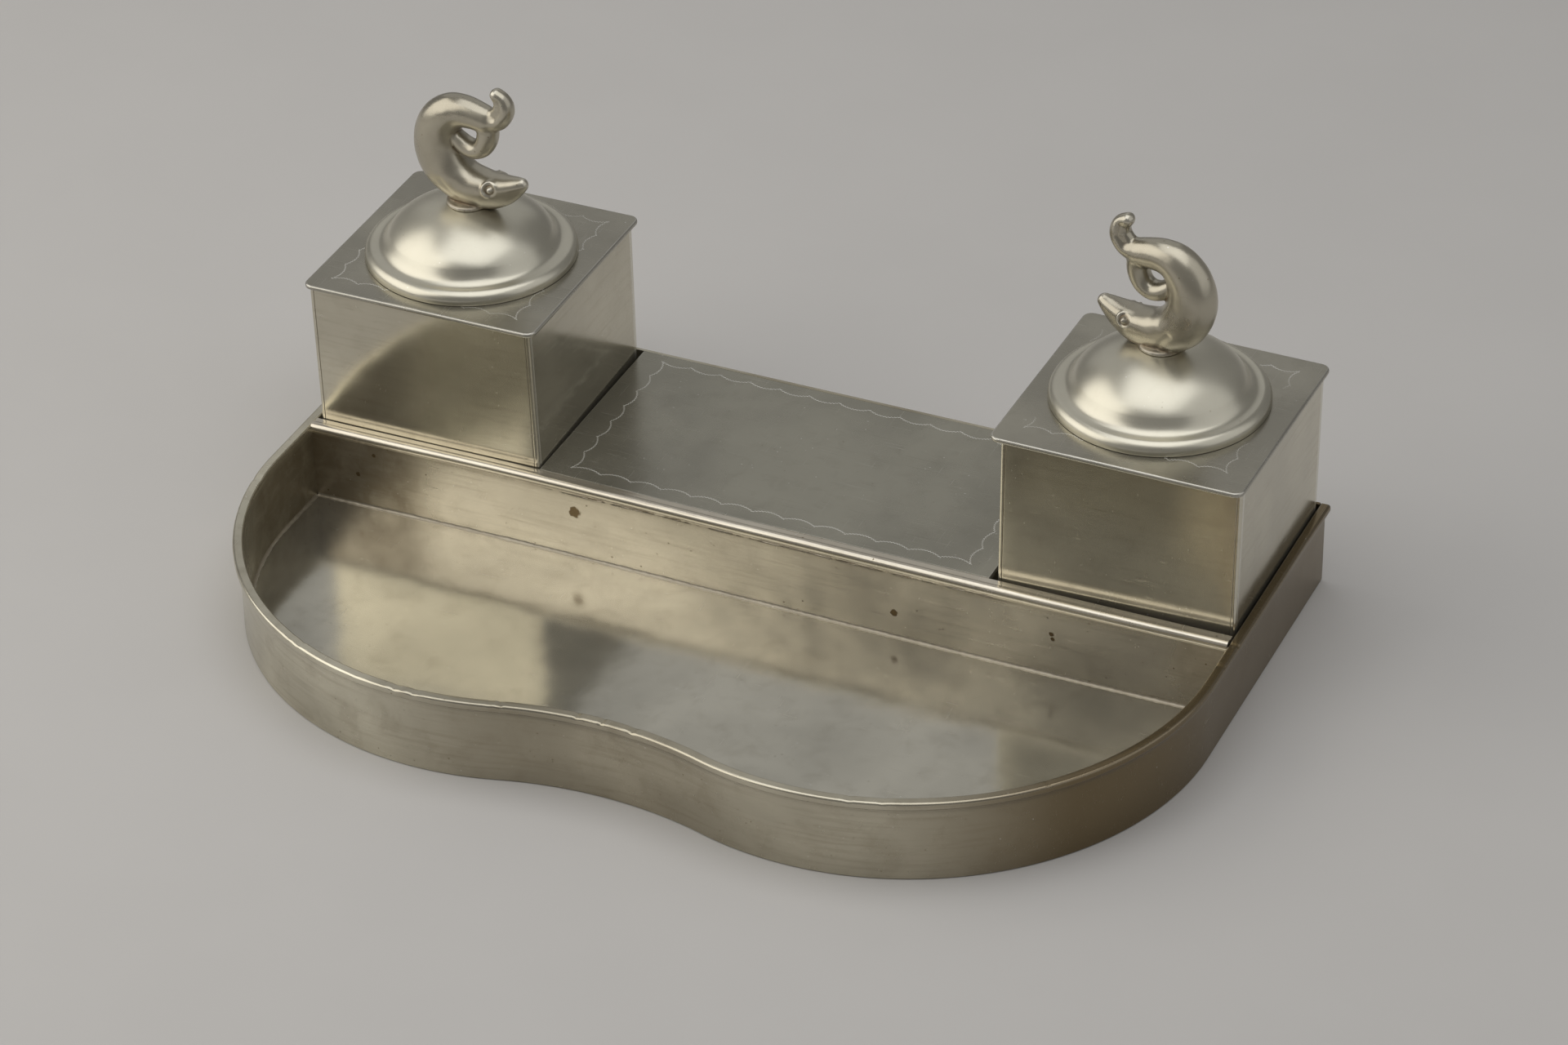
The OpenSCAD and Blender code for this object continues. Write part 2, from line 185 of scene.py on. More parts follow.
# a section of (distance, height) carried along a line, the distance laid off along the normals
def carried(section, line, normals):
    grid = np.empty((len(line), len(section), 3))
    grid[..., :2] = line[:, None] + normals[:, None] * section[:, :1]
    grid[..., 2] = section[:, 1]
    return grid


# a profile of (radius, height) carried round the Z axis
def turned(profile, sides):
    a = np.linspace(0, 2 * np.pi, sides, endpoint=False)
    r, z = np.asarray(profile, float).T
    return np.stack([r[:, None] * np.cos(a), r[:, None] * np.sin(a),
                     np.repeat(z[:, None], sides, 1)], -1)


# points turned about the Z axis by an angle in degrees
def spun(p, angle):
    c, s = math.cos(math.radians(angle)), math.sin(math.radians(angle))
    return np.stack([p[..., 0] * c - p[..., 1] * s, p[..., 0] * s + p[..., 1] * c, p[..., 2]], -1)


# points about a box's own middle, or its mouth, turned and moved to where the box stands
def placed(points, side, z, mouth=True):
    b = boxes[side]
    p = np.array(points, float)
    if mouth:
        p[..., :2] += b["mouth"]
    return spun(p, b["turn"]) + [*b["at"], z]


# Catmull-Rom curve through the stations: a cubic whose slope at each is half the step between
# its two neighbours
def eased(stations, steps):
    s = np.asarray(stations, float)
    s = np.vstack([s[:1], s, s[-1:]])
    out = []
    for i in range(1, len(s) - 2):
        a, b, c, d = s[i - 1:i + 3]
        t = np.linspace(0, 1, steps, endpoint=False)[:, None]
        out.append(0.5 * (2 * b + (c - a) * t + (2 * a - 5 * b + 4 * c - d) * t ** 2
                          + (3 * b - a - 3 * c + d) * t ** 3))
    return np.vstack(out + [s[-2:-1]])


# slow unevenness, about -1 to 1: a sum of five sines along seeded directions, size in mm
def waves(p, seed, size):
    rng = np.random.default_rng(seed)
    total = 0
    for _ in range(5):
        k = rng.normal(size=3)
        k *= 2 * np.pi / (size * rng.uniform(0.7, 1.6)) / np.linalg.norm(k)
        total = total + np.sin(p @ k + rng.uniform(0, 6.28))
    return total / 3


# short names for wiring a material's nodes; every pattern runs on object coordinates in mm
class Shader:
    def __init__(self, name):
        self.material = bpy.data.materials.new(name)
        self.material.use_nodes = True
        self.tree = self.material.node_tree
        self.tree.nodes.clear()
        self.coord = self.add("TexCoord").outputs["Object"]

    # a node with its settings and, under their sockets' names, the wires or plain values it gets
    def add(self, kind, settings=(), **inputs):
        n = self.tree.nodes.new("ShaderNode" + kind)
        for k, v in dict(settings).items():
            setattr(n, k, v)
        for k, v in inputs.items():
            self.put(n.inputs[k.replace("_", " ")], v)
        return n

    def put(self, socket, value):
        if isinstance(value, bpy.types.NodeSocket):
            self.tree.links.new(value, socket)
        else:
            socket.default_value = value

    def scaled(self, x, y=None, z=None, turn=(0, 0, 0)):
        return self.add("Mapping", Vector=self.coord, Rotation=turn,
                        Scale=[(k or x) * perMetre for k in (x, y, z)]).outputs["Vector"]

    def noise(self, vector, scale=1.0, detail=3.0, rough=0.5, distort=0.0):
        return self.add("TexNoise", Vector=vector, Scale=scale, Detail=detail, Roughness=rough,
                        Distortion=distort).outputs["Fac"]

    def cells(self, vector, scale):  # distance to the middle of the nearest cell
        return self.add("TexVoronoi", Vector=vector, Scale=scale).outputs["Distance"]

    def span(self, value, low, high, out0=0.0, out1=1.0):  # smooth step from out0 to out1
        return self.add("MapRange", {"interpolation_type": "SMOOTHSTEP"}, Value=value,
                        From_Min=low, From_Max=high, To_Min=out0, To_Max=out1).outputs["Result"]

    def math(self, kind, *values):
        n = self.add("Math", {"operation": kind})
        for k, v in enumerate(values):
            self.put(n.inputs[k], v)
        return n.outputs["Value"]

    def times(self, a, b):
        return self.math("MULTIPLY", a, b)

    def plus(self, a, b):
        return self.math("ADD", a, b)

    def mix(self, fac, *colours):  # the colours' own sockets are 6, 7 and, going out, 2
        n = self.add("Mix", {"data_type": "RGBA"})
        self.put(n.inputs[0], fac)
        for k, c in enumerate(colours):
            self.put(n.inputs[6 + k], c if isinstance(c, bpy.types.NodeSocket) else (*c, 1))
        return n.outputs[2]

    def attribute(self, name):
        return self.add("Attribute", {"attribute_name": name}).outputs["Fac"]

    def bump(self, height, strength, distance, **after):
        return self.add("Bump", Height=height, Strength=strength, Distance=distance * mm,
                        **after).outputs["Normal"]

    def surface(self, **values):
        n = self.add("BsdfPrincipled", **values)
        self.add("OutputMaterial", Surface=n.outputs["BSDF"])
        return self.material


# scales of the patterns per millimetre, then how strongly and how deep (mm) each one shows
patina = {"broad": 0.02, "cloud": 0.11, "fine": 2.2, "pitCell": 0.42, "pitArea": 0.3,
          "speckCell": 0.45, "speckArea": 0.21, "buckle": 0.035, "haze": 0.03, "grimeAndShade": 0.9,
          "lightScratch": 0.12, "darkScratch": 0.16, "speck": 0.5, "buckleDeep": 1.2,
          "scratchDeep": 0.008, "pitDeep": 0.1, "speckColour": (0.9, 0.89, 0.86)}
# threads of stretched noise: their scale along X, Y and Z and their turn; the last set is dark
threads = [((0.07, 3.2, 0.7), 0.5), ((2.9, 0.06, 0.6), -0.35), ((0.05, 4.1, 0.9), -0.9)]


# old pewter: a tone mottled by noise, brown grime in hollows together with painted shade that
# some pieces add, bright metal where rubbed, then scratches, pits and specks; painted shade
# comes or goes along X as (start, end, depth), spots are holes as (x, z, radius)
def pewter(name, tone, dark, bright, rough=0.2, scratch=1.0, wave=0.2, pits=0.5, blotch=0.12,
           worn=1.0, shadeByX=(), spots=(), streak=0.0, metal=0.88, seed=0.0):
    s, k = Shader(name), patina
    v = s.scaled(1)
    broad = s.noise(v, k["broad"] + seed * 0.001, 3, 0.5, 0.3)
    cloud = s.noise(v, k["cloud"] + seed * 0.01, 5, 0.6, 0.5)
    fine = s.noise(v, k["fine"], 3, 0.7)
    mottle = s.span(broad, 0.3, 0.7)
    colour = s.mix(mottle, tuple(c * (0.95 - blotch) for c in tone), tone)
    colour = s.mix(s.times(s.span(cloud, 0.45, 0.8), blotch), colour, dark)
    smear = s.noise(s.scaled(0.04, 0.04, 0.8), 1.0, 4, 0.6)  # level streaks left by wiping
    colour = s.mix(s.times(s.span(smear, 0.45, 0.75), streak), colour, dark)
    place = s.add("SeparateXYZ", Vector=v)
    summedShade = 0.0
    # painted shade: the colour darkens along X, ramp by ramp
    for start, end, depth in shadeByX:
        summedShade = s.plus(s.span(place.outputs["X"], start, end, 0, depth), summedShade)
    if shadeByX:
        colour = s.mix(summedShade, colour, dark)
    # grime in hollows together with the painted shade some pieces add: darkens towards the dark
    # colour
    grimeAndShade = s.times(s.span(s.attribute("grimeAndShade"), 0.05, 0.75), k["grimeAndShade"])
    grimeAndShade = s.times(grimeAndShade, s.span(cloud, 0.25, 0.6, 0.65, 1.0))
    colour = s.mix(grimeAndShade, colour, dark)
    rub = s.times(s.span(s.attribute("rub"), 0.12, 0.7), s.span(fine, 0.25, 0.6, 0.5, 1.0))
    colour = s.mix(s.times(rub, worn), colour, bright)
    lines = []
    for i, (scale, turn) in enumerate(threads):
        thread = s.noise(s.scaled(*scale, (0.15 * i, 0.1, turn)), 1.0, 2, 0.55, 0.2)
        lines.append(s.span(thread, 0.64 + 0.01 * i, 0.76))
    scratches = s.times(s.plus(lines[0], lines[1]), s.span(cloud, 0.35, 0.65))
    colour = s.mix(s.times(scratches, k["lightScratch"] * scratch), colour, bright)
    colour = s.mix(s.times(lines[2], k["darkScratch"] * scratch), colour, dark)
    # pits and specks: the middles of cells, only where a coarse noise allows
    pit = s.times(s.span(s.cells(v, k["pitCell"]), 0.05, 0.16, 1.0, 0.0),
                  s.span(s.noise(v, k["pitArea"], 1), 0.56, 0.64))
    for x, z, radius in spots:
        away = [s.math("ABSOLUTE", s.math("SUBTRACT", place.outputs[way], at))
                for way, at in (("X", x), ("Z", z))]
        near = s.math("SQRT", s.plus(*[s.math("POWER", d, 2.0) for d in away]))
        near = s.plus(near, s.times(s.noise(v, 0.9, 2), radius))
        pit = s.math("MAXIMUM", pit, s.span(near, radius * 0.95, radius * 1.35, 1.6, 0.0))
    colour = s.mix(s.times(pit, pits), colour, dark)
    speck = s.times(s.span(s.cells(v, k["speckCell"]), 0.07, 0.11, 1.0, 0.0),
                    s.span(s.noise(v, k["speckArea"], 1), 0.58, 0.64))
    colour = s.mix(s.times(speck, k["speck"]), colour, k["speckColour"])
    roughness = s.plus(s.span(broad, 0.3, 0.7, rough - k["haze"], rough + k["haze"]),
                       s.times(grimeAndShade, 0.25))
    roughness = s.plus(roughness, s.times(scratches, 0.1 * scratch))
    normal = s.bump(s.noise(v, k["buckle"], 2, 0.5), wave, k["buckleDeep"])
    normal = s.bump(scratches, 0.2 * scratch, k["scratchDeep"], Normal=normal)
    normal = s.bump(pit, -pits, k["pitDeep"], Normal=normal)
    return s.surface(Base_Color=colour, Metallic=metal, Roughness=roughness, Normal=normal)


rolled = dict(dark=(0.2, 0.185, 0.14), wave=0.12, blotch=0.18, metal=0.85)  # deck and plates
tones = {
    # painted shade along X on the wall: darker from -80 to -20, a little lighter from 15 to 55,
    # darkest past 80 at the right end, away from the key light
    "wallPewter": dict(tone=(0.755, 0.715, 0.58), dark=(0.2, 0.155, 0.09),
                       bright=(0.76, 0.74, 0.67), rough=0.22, wave=0.22, pits=0.7, worn=0.45,
                       shadeByX=((-80, -20, 0.42), (15, 55, -0.2), (80, 135, 0.8)), blotch=0.26,
                       streak=0.2),
    "floorPewter": dict(tone=(0.635, 0.612, 0.525), dark=(0.22, 0.19, 0.13),
                        bright=(0.8, 0.78, 0.72), rough=0.145, scratch=1.5, blotch=0.2),
    "partitionPewter": dict(tone=(0.745, 0.69, 0.58), dark=(0.18, 0.13, 0.07),
                            bright=(0.84, 0.82, 0.75), pits=1.0, worn=0.12, streak=0.15,
                            spots=((-59, 17.4, 2.5), (44.4, 9.9, 1.6), (93.4, 15.8, 1.0),
                                   (93.8, 14.3, 0.9), (-132.1, 12.6, 1.0), (-126.2, 20.6, 0.9))),
    "solderPewter": dict(tone=(0.48, 0.44, 0.36), dark=(0.2, 0.15, 0.09), bright=(0.6, 0.57, 0.5),
                         rough=0.42, wave=0.3),
    "deckPewter": dict(rolled, tone=(0.4, 0.385, 0.32), bright=(0.72, 0.71, 0.66), rough=0.26,
                       pits=0.4, scratch=2.6, worn=0.4),
    "cutPewter": dict(tone=(0.66, 0.65, 0.6), dark=(0.4, 0.38, 0.33), bright=(0.72, 0.71, 0.67),
                      rough=0.45, wave=0.1, pits=0.2, worn=0.5),
    "boxPewter": dict(tone=(0.685, 0.645, 0.53), dark=(0.22, 0.175, 0.1),
                      bright=(0.88, 0.85, 0.77), rough=0.17, wave=0.1, pits=0.4, scratch=1.4,
                      streak=0.15),
    "platePewter": dict(rolled, tone=(0.42, 0.4, 0.335), bright=(0.84, 0.83, 0.79), rough=0.27,
                        pits=0.3, scratch=2.4, worn=0.6),
    "lidPewter": dict(tone=(0.67, 0.643, 0.54), dark=(0.3, 0.245, 0.15), bright=(0.68, 0.65, 0.58),
                      rough=0.32, wave=0.06, pits=0.4, scratch=0.7, blotch=0.06, worn=0.3,
                      metal=0.92),
    "finialPewter": dict(tone=(0.51, 0.475, 0.385), dark=(0.16, 0.11, 0.06),
                         bright=(0.8, 0.77, 0.68), rough=0.28, wave=0.16, worn=0.7)}
metals = {name: pewter(name, seed=i, **values) for i, (name, values) in enumerate(tones.items())}

pot = {"colour": (0.86, 0.93, 0.9, 1), "clear": 0.9, "index": 1.5, "rough": (0.03, 0.09)}


# greenish glass whose roughness and surface follow one slow noise
def glass():
    s = Shader("potGlass")
    uneven = s.noise(s.scaled(1), 0.2, 2)
    return s.surface(Base_Color=pot["colour"], Roughness=s.span(uneven, 0.3, 0.7, *pot["rough"]),
                     Transmission_Weight=pot["clear"], IOR=pot["index"],
                     Normal=s.bump(uneven, 0.2, 0.4))


metals["potGlass"] = glass()
print("stage: materials")

# the cast outer wall: step along it, slow waves in it and in its top (depth and size), and the
# nicks in its lip, how deep and how wide they may be
wall = {"step": 0.6, "wave": 0.12, "waveSize": 34, "topWave": 0.12, "topSize": 26, "nicks": 26,
        "nickDeep": (0.06, 0.3), "nickWide": (0.5, 1.6), "middle": (0, -15)}


# points along the lip's outer face, right rear to left rear, and their outward normals: straight
# sides and three arcs that meet where their tangents agree
def outline():
    b, step = base, wall["step"]
    half, turn = b["width"] / 2, math.degrees(math.atan(b["lobeX"] / (b["lobeY"] - b["waistY"])))
    y = np.linspace(b["rear"], b["lobeY"], int((b["rear"] - b["lobeY"]) / step))[:-1]
    right = np.stack([np.full_like(y, half), y], 1), np.tile([1.0, 0.0], (len(y), 1))

    def around(cx, cy, r, a0, a1, way):
        count = int(abs(math.radians(a1 - a0)) * r / step) + 1
        d = bow(0, 0, 1, a0, a1, count)[:-1]
        return np.array([cx, cy]) + r * d, way * d

    runs = [right, around(b["lobeX"], b["lobeY"], b["lobeR"], 0, -90 - turn, 1),
            around(0, b["waistY"], b["waistR"], 90 - turn, 90 + turn, -1),
            around(-b["lobeX"], b["lobeY"], b["lobeR"], turn - 90, -180, 1),
            [rows[::-1] * [-1, 1] for rows in right]]
    return [join(rows) for rows in zip(*runs)]


# the lip's and the sheet's section, (distance in from the lip's face, height), carried along the
# outline, then made uneven inwards and nicked: each nick is a bell along the lip
def outerWall():
    b = base
    top, lip, inset = b["rim"], b["lip"], b["lip"] + b["wall"]
    inner = [[inset, h] for h in (top - 1.6, top - 4, 18, 12, 6, 2.4, 0.25)]
    outer = [[lip, h] for h in (0.35, 2.4, 7, 13, 18, top - 5.4)]
    profile = join([
        [[0.0, top - 1.3]], bow(0.9, top - 0.9, 0.9, 180, 90, 6), [[1.7, top]],
        bow(inset - 0.55, top - 0.55, 0.55, 90, 0, 5), inner, [[inset - 0.25, 0], [lip + 0.35, 0]],
        outer, [[lip - 0.05, top - 4.6], [lip - 0.25, top - 3.8], [lip - 0.55, top - 3.1]],
        bow(0.9, top - 1.7, 0.9, 270, 180, 6)])
    p, n = outline()
    grid = carried(profile, p, -n)
    # none of the unevenness reaches the foot or the rim's top
    free = np.clip(np.minimum(grid[..., 2] / 4, (top - grid[..., 2]) / 1.5), 0, 1)
    slow = free * (0.5 + 0.5 * waves(grid, 3, wall["waveSize"])) * wall["wave"]
    grid[..., :2] -= n[:, None] * slow[..., None]
    sunk = wall["topWave"] * (0.5 + 0.5 * waves(grid, 8, wall["topSize"]))
    grid[..., 2] -= np.where(grid[..., 2] > top - 3.2, sunk, 0)
    along = travel(p)
    rng = np.random.default_rng(11)
    upper = np.clip((grid[..., 2] - top + 2.6) / 1.4, 0, 1)
    for at, deep, wide in zip(rng.uniform(0, along[-1], wall["nicks"]),
                              rng.uniform(*wall["nickDeep"], wall["nicks"]),
                              rng.uniform(*wall["nickWide"], wall["nicks"])):
        grid[..., 2] -= (bell(along - at, wide) * deep)[:, None] * upper
    return tubeMesh([grid])


# painted shade where the normal points to the middle of the tray, much more of it round the
# left end; the rim's top stays clear
def wallShadePaint(p, normal):
    inner = (normal[:, :2] * unit(np.array(wall["middle"]) - p[:, :2])).sum(1) > 0.2
    left = np.clip((-95 - p[:, 0]) / 30, 0, 1) * np.clip((p[:, 1] + 48) / 28, 0, 1)
    return inner * (0.06 + 0.5 * left) * np.clip((base["rim"] - 0.6 - p[:, 2]) / 2, 0, 1)


piece("outer_wall_cast", outerWall(), "wallPewter", "base", ["outer_wall"],
      paintedShade=wallShadePaint)

# the partition: half its sheet's thickness, its half length, how far it strays to the rear on
# the left and to the front on the right (distance, place, width), how low the bead is worn, and
# the ragged seam under it
partition = {"half": 0.75, "reach": 146.9, "step": 0.45, "toRear": (0.8, -82, 50),
             "toFront": (0.6, 78, 58), "wornLow": 0.1, "wornSize": 40, "seamZ": 23.8,
             "seamDeep": 0.3, "seamAt": 6, "seamHalf": 76}
solder = {"high": 0.8, "wide": 1.0, "reach": 146.4, "step": 0.6}


def sway(x):  # how far the partition's line stands behind a straight one: two bells
    rear, front = partition["toRear"], partition["toFront"]
    return rear[0] * bell(x - rear[1], rear[2]) - front[0] * bell(x - front[1], front[2])


# a hollow-faced bead of solder along a corner, a quarter of an ellipse scaled by four sines; the
# normals point into the tray
def fillet(points, normals, seed):
    along, rng = travel(points), np.random.default_rng(seed)
    swell = np.ones(len(along))
    for size in (41.0, 17.0, 6.5, 2.7):
        swell = swell + 0.07 * np.sin(along * 2 * np.pi / size + rng.uniform(0, 6.28))
    t = np.linspace(0, 1, 6) * np.pi / 2
    offset = join([[-0.3], solder["wide"] * (1 - np.sin(t)), [-0.3]])
    rise = join([[-0.2], solder["high"] * (1 - np.cos(t)), [solder["high"]]])
    grid = np.empty((len(points), len(offset), 3))
    grid[..., :2] = points[:, None] + normals[:, None] * (offset * swell[:, None])[..., None]
    grid[..., 2] = base["floor"] + rise * np.maximum(swell[:, None], 0.3)
    grid[:, 0, 2] = base["floor"] - 0.2
    return grid


# solder along the foot of the outer wall in front of the partition, and of the partition itself
def traySolder():
    p, n = outline()
    keep = p[:, 1] < base["partition"] - 0.7
    foot = p[keep] - n[keep] * (base["lip"] + base["wall"])
    x = np.arange(-solder["reach"], solder["reach"] + 0.1, solder["step"])
    line = np.stack([x, base["partition"] - partition["half"] + sway(x)], 1)
    return tubeMesh([fillet(foot, -n[keep], 5), fillet(line, np.tile([0.0, -1.0], (len(x), 1)), 6)])


piece("tray_solder", traySolder(), "solderPewter", "base", smooth=60)


# the section, (distance to the rear, height), of the sheet, bead and rail carried along X, then
# worn low by slow waves, torn along the seam and bent by the sway
def partitionBead():
    b, half = base, partition["half"]
    y, z, r, foot, back, top, low = (b["partition"], b["beadZ"], b["beadR"], b["floor"],
                                     b["rail"], b["rim"], b["rim"] - b["sheet"])
    front = [[-half, h] for h in (foot, foot + 3, foot + 6, foot + 8.3, foot + 11, foot + 14,
                                  foot + 15.8, foot + 18, 21.4, 22.6, 23.2, 23.5, 23.65, 23.8,
                                  23.95, 24.1)] + [[-half - 0.05, z - r + 0.03]]
    rail = [[1.25, top - 0.04], [1.5, top - 0.03], [2.1, top - 0.01], [back - 0.3, top],
            [back - 0.08, top - 0.03], [back, top - 0.12], [back, top - 0.6], [back, low],
            [half, low], [half, low - 1.5]]
    profile = join([front, bow(0, z, r, 235, 50, 18), rail, [[-a, h] for a, h in front[6::-2]]])
    x = np.arange(-partition["reach"], partition["reach"] + 0.01, partition["step"])
    grid = carried(profile, np.stack([x, x * 0 + y], 1), np.tile([0.0, 1.0], (len(x), 1)))
    up = np.clip((grid[..., 2] - (z - r)) / 1.5, 0, 1)
    grid[..., 2] -= up * partition["wornLow"] * (1 + waves(grid, 21, partition["wornSize"])) / 2
    x = grid[..., 0]
    line = flat(x, x * 0)
    along = np.clip((partition["seamHalf"] - np.abs(x - partition["seamAt"])) / 12, 0, 1)
    torn = np.clip(0.5 + 0.6 * waves(line, 4, 7) + 0.3 * waves(line, 5, 2.2), 0, 1) * along
    seam = bell(grid[..., 2] - partition["seamZ"] - 0.12 * waves(line, 6, 15), 0.14)
    grid[..., 1] += np.where(grid[..., 1] < y - 0.4, partition["seamDeep"] * torn * seam, 0)
    # where the bead bends to the front, the rail's rear edge stays straight
    bend, hold = sway(x), np.clip((grid[..., 1] - y) / back, 0, 1)
    grid[..., 1] += np.where(bend < 0, bend * (1 - hold), bend)
    return tubeMesh([grid])


# painted shade on the front face: towards both ends, a little along the foot and under the bead
def partitionShadePaint(p, normal):
    end = np.clip((-98 - p[:, 0]) / 38, 0, 0.5) + np.clip((p[:, 0] - 120) / 35, 0, 0.4)
    foot = 0.3 * np.clip(1 - (p[:, 2] - base["floor"]) / 2.5, 0, 1)
    under = 0.3 * np.clip((p[:, 2] - 20.5) / 3, 0, 1)
    return (normal[:, 1] < -0.5) * np.maximum(end, foot + under) * (p[:, 2] < 24.2)


piece("partition_bead", partitionBead(), "partitionPewter", "base",
      ["tray_partition"], paintedShade=partitionShadePaint)

# the deck: half its width, its front edge, how wide a strip of it rolls down and how far, the
# radius of its cut edges, and how deep and how long its dents are
deck = {"half": 72.3, "front": 20.5265, "roll": 2.0, "drop": 0.03, "edge": 0.16, "dent": 0.05,
        "dentSize": 60}


def deckDent(x, y):  # how far the deck's top lies below the rim
    return deck["dent"] * (1 + waves(flat(x, y), 31, deck["dentSize"]))


# a flat sheet whose cut edges are a quarter round, sunk by its dents; its front follows the bead
def deckSheet():
    d, back, low = deck, base["rear"] - base["rearWall"], base["rim"] - base["sheet"]
    half, front, fine = d["half"], d["front"], np.array([0, 0.06, 0.2, 0.4])
    x = join([-half + fine, np.linspace(-half + 0.8, half - 0.8, 140), half - fine[::-1]])
    y = join([front + fine, np.linspace(front + 0.8, front + d["roll"], 12),
              np.linspace(front + d["roll"] + 1.2, back, 56)])
    xx, yy = np.meshgrid(x, y, indexing="ij")
    cut = np.clip(1 - np.minimum(half - np.abs(xx), yy - front) / d["edge"], 0, 1)
    roll = np.clip(1 - (yy - front) / d["roll"], 0, 1)
    z = base["rim"] - d["edge"] * (1 - np.sqrt(np.maximum(1 - cut * cut, 0)))
    z = np.maximum(z - d["drop"] * roll * roll - deckDent(xx, yy), low + 0.05)
    yy = yy + np.maximum(sway(xx), 0) * np.clip(1 - (yy - front) / 30, 0, 1)
    top = np.stack([xx, yy, z], -1)
    under = top.copy()
    under[..., 2] = low
    m, n = xx.shape
    upper = gridFaces(m, n, False, False)
    rim = join([np.arange(n), np.arange(1, m) * n + n - 1,
                (m - 1) * n + np.arange(n - 2, -1, -1), np.arange(m - 2, 0, -1) * n])
    ahead = np.roll(rim, -1)
    skirt = np.stack([rim, rim + m * n, ahead + m * n, ahead], 1)
    return meshOf(join([top.reshape(-1, 3), under.reshape(-1, 3)]),
                  join([upper, upper[:, ::-1] + m * n, skirt]))


piece("deck_sheet", deckSheet(), "deckPewter", "base", ["deck_plate"])
print("stage: base")

# wriggle-work, a zigzag cut along scallops: the zigzag's pitch and swing, the cut's width and
# height, how far a scallop bows in, then each frame's corners and scallops to a side
wriggle = {"pitch": 0.95, "swing": 0.25, "wide": 0.24, "high": 0.03, "bulge": 1.6,
           "deck": ([(-64.3, 25.6), (65.0, 24.7), (65.0, 88.4), (-64.6, 90.0)], (13, 7, 13, 7)),
           "left": ([(-31.6, -30.6), (30.0, -30.6), (30.6, 30.8), (-31.6, 31.0)], (7, 7, 7, 7)),
           "right": ([(-30.8, -28.4), (30.6, -27.8), (30.8, 30.4), (-30.8, 30.6)], (7, 7, 7, 7))}


# a closed run of arcs between a frame's corners: a sine's size to the power 0.8, bowed inwards
def scallops(which):
    ends, counts = np.array(wriggle[which][0]), wriggle[which][1]
    run, middle = [], np.mean(ends, 0)
    for a, b, count in zip(ends, np.roll(ends, -1, 0), counts):
        t = np.linspace(0, count, count * 24 + 1)[:-1]
        way = (b - a) / count
        inward = np.array([-way[1], way[0]]) / np.linalg.norm(way)
        if inward @ (middle - (a + b) / 2) < 0:
            inward = -inward
        dip = np.abs(np.sin(np.pi * t)) ** 0.8 * wriggle["bulge"]
        run.append(a + t[:, None] * way + dip[:, None] * inward)
    return join(run)


def sideways(p):  # across a closed line, square to the way from the last point to the next
    d = unit(np.roll(p, -1, 0) - np.roll(p, 1, 0))
    return np.stack([-d[:, 1], d[:, 0]], 1)


# a low ridge along a closed line that swings to its sides as a triangle wave of the distance
def wriggled(line, height):
    line = np.vstack([line, line[:1]])
    far = travel(line)
    s = np.linspace(0, far[-1], int(far[-1] / wriggle["pitch"]) * 6, endpoint=False)
    p = np.stack([np.interp(s, far, line[:, 0]), np.interp(s, far, line[:, 1])], 1)
    zig = 4 * np.abs(s / wriggle["pitch"] % 1 - 0.5) - 1
    p = p + sideways(p) * (zig * wriggle["swing"])[:, None]
    w, h = wriggle["wide"] / 2, wriggle["high"]
    section = np.array([[-w, -0.12], [-w, 0.0], [-w * 0.35, h], [w * 0.35, h], [w, 0.0],
                        [w, -0.12]])
    grid = carried(section, p, sideways(p))
    grid[..., 2] += height(p[:, 0], p[:, 1])[:, None]
    return grid


deckCut = wriggled(scallops("deck"), lambda x, y: base["rim"] - deckDent(x, y))
piece("deck_wriggle", ringMesh(deckCut), "cutPewter", "base", smooth=20)

# a box: width and depth, its walls' thickness, foot and top, the radius of outer and of inner
# upright edges, and the groove that shows the joint of two walls
case = {"w": 71.8, "d": 69.7, "t": 1.8, "low": 1.6, "high": 73.3, "edge": 0.8, "seam": 0.12,
        "groove": 0.16, "cell": 6.0}
# where its corners stand at the deck and then under its plate, front left, front right, back
# right, back left: hand-soldered walls are never quite square
corners = {"left": [[(-145.6, 20.95), (-72.75, 21.7), (-73.6, 91.4), (-145.85, 90.8)],
                    [(-146.4, 20.95), (-74.0, 21.7), (-73.9, 91.4), (-146.2, 90.8)]],
           "right": [[(74.5, 21.2), (146.15, 22.7), (146.4, 92.0), (74.27, 92.6)],
                     [(75.2, 21.2), (147.0, 22.7), (146.8, 92.0), (74.6, 92.6)]]}


